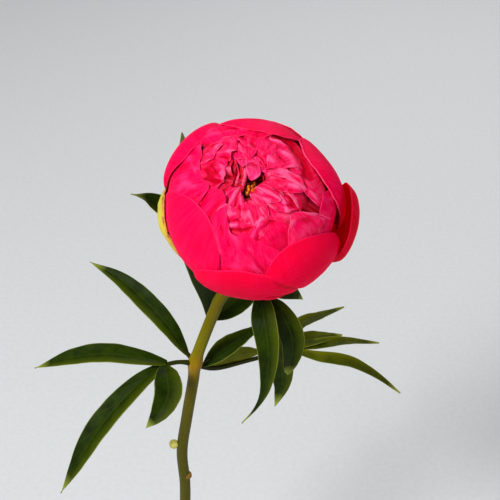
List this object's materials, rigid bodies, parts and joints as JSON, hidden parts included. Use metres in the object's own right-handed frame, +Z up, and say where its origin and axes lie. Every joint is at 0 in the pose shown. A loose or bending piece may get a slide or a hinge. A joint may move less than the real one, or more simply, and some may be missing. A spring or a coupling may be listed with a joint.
{
  "type": "cut flower in bud vase",
  "caption": "Half-open double peony bloom on a bent leafy stem, standing in water in a small bottle-shaped bud vase.",
  "frame": {"origin": "centre of the vase's flat foot, on the surface it stands on", "axes": "+Z up along the vase's axis, -Y towards the side that the open bloom leans to, +X to its right"},
  "size_m": [0.2029, 0.1258, 0.4336],
  "materials": {
    "vase_glaze": "satin grey glaze",
    "water": "clear",
    "stem": "satin yellow-olive",
    "sepal": "satin yellow-green",
    "petal": "soft crimson-pink",
    "stamen": "mealy orange",
    "carpel": "matte pale green",
    "leaf": "satin dark green"
  },
  "bodies": {
    "root": {"vase": "vase_glaze", "water": "water", "stem": "stem", "calyx": "sepal", "bloom": "petal", "stamens": "stamen", "carpels": "carpel", "leaf_left": "leaf", "leaf_upper_left": "leaf", "leaf_right": "leaf", "leaf_front": "leaf", "leaf_behind": "leaf", "bract_left": "leaf", "bract_back": "leaf"}
  },
  "joints": []
}
